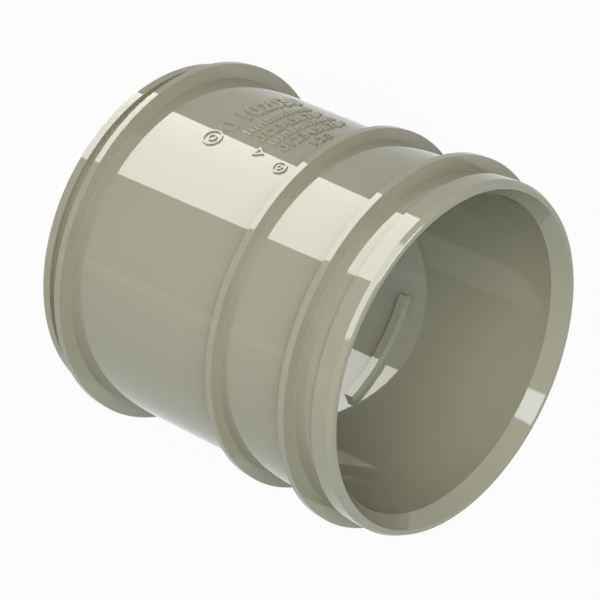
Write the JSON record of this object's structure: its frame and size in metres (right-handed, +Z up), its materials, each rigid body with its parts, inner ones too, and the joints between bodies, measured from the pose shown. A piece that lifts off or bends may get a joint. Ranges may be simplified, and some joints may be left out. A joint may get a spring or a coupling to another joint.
{
  "type": "pipe coupler",
  "caption": "Straight moulded coupler that joins two soil pipes end to end, with a plain socket at each end, circumferential ribs outside and an interrupted stop ring inside.",
  "frame": {"origin": "centre of the lower end face, on the pipe axis", "axes": "+Z up the pipe axis, towards the end with the long lip; X and Y through the middles of the pipe stops"},
  "size_m": [0.0972, 0.0972, 0.0975],
  "materials": {
    "grey_pvc": "glossy injection-moulded PVC, olive grey"
  },
  "bodies": {
    "root": {"coupler_body": "grey_pvc"}
  },
  "joints": []
}
